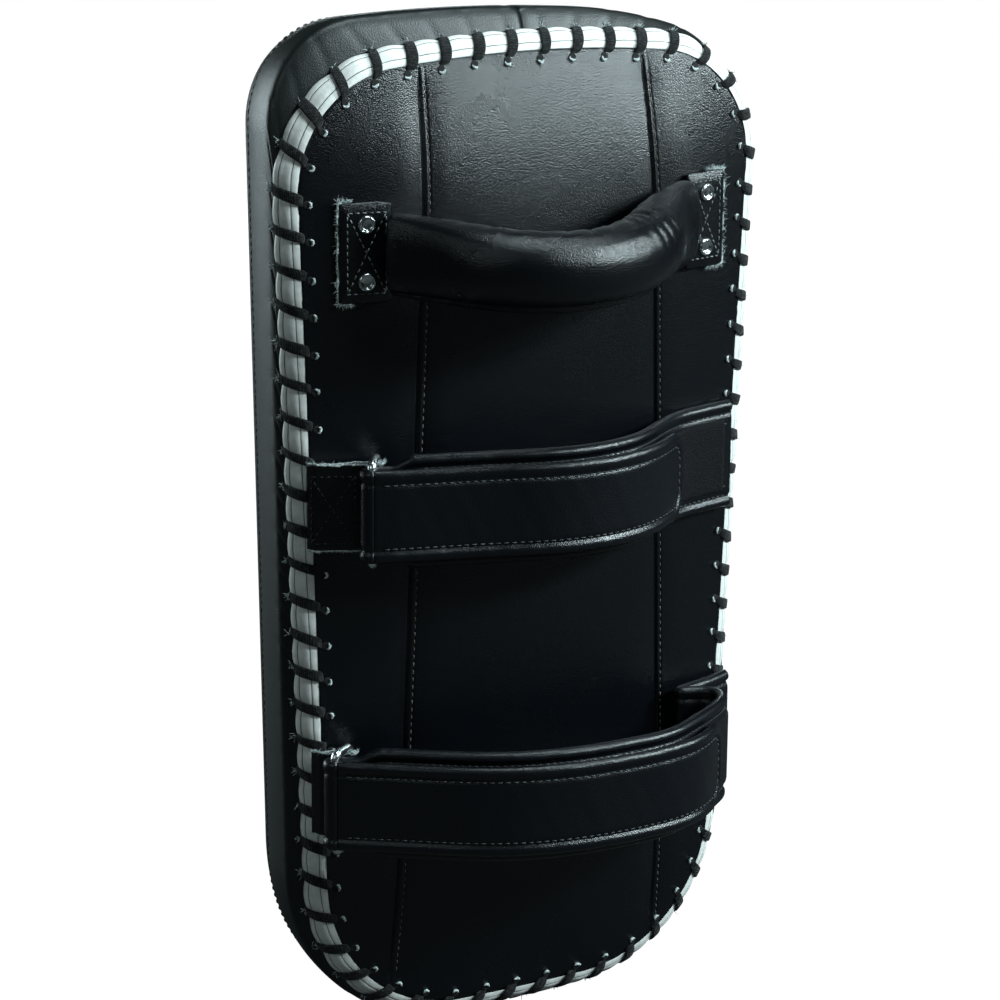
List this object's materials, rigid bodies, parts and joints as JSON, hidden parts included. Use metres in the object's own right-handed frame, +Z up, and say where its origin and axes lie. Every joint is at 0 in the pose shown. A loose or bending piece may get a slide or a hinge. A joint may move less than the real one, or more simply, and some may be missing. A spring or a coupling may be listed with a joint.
{
  "type": "thai kick pad",
  "caption": "Tall padded kick pad with a laced white edge strip, a padded carrying handle and forearm straps that close with fold-back flaps.",
  "frame": {"origin": "bottom centre of the bounding box; the pad stands on its lower end", "axes": "+Z up along the pad's length, +Y towards the strike face, -Y towards the holder's side with the handle and straps"},
  "size_m": [0.2098, 0.148, 0.402],
  "materials": {
    "leather": "black artificial leather, fine grain, semi-gloss",
    "vinyl": "white glossy vinyl strip",
    "lace": "flat woven lace, black",
    "foam": "closed-cell foam",
    "webbing": "woven webbing",
    "loop": "fuzzy loop fastener, black",
    "hook": "hook fastener, black",
    "rivet": "plated ring-cap rivet",
    "wire": "nickel-plated wire"
  },
  "bodies": {
    "pad": {"strike_cover": "leather", "side_wall_left": "leather", "side_wall_right": "leather", "front_foam": "foam", "core_foam": "foam", "back_foam": "foam", "back_panel_left": "leather", "back_panel_center": "leather", "back_panel_right": "leather", "edge_strip": "vinyl", "lacing": "lace", "handle_grip": "leather", "handle_core": "webbing", "handle_tab_left": "leather", "handle_tab_right": "leather", "handle_rivets": "rivet", "rivet_burrs": "wire", "upper_ring_tab": "leather", "upper_ring": "wire", "upper_strap": "leather", "upper_loop_patch": "loop", "lower_ring_tab": "leather", "lower_ring": "wire", "lower_strap": "leather", "lower_loop_patch": "loop"},
    "upper_flap": {"upper_flap": "leather", "upper_hook_patch": "hook"},
    "lower_flap": {"lower_flap": "leather", "lower_hook_patch": "hook"}
  },
  "joints": [
    {"name": "upper_flap_open", "type": "hinge", "parent": "pad", "child": "upper_flap", "pos_m": [-0.078, -0.0287, 0.222], "axis": [0, 0, -1], "range_deg": [0, 90]},
    {"name": "lower_flap_open", "type": "hinge", "parent": "pad", "child": "lower_flap", "pos_m": [-0.0905, -0.0224, 0.109], "axis": [0, 0, -1], "range_deg": [0, 90]}
  ]
}
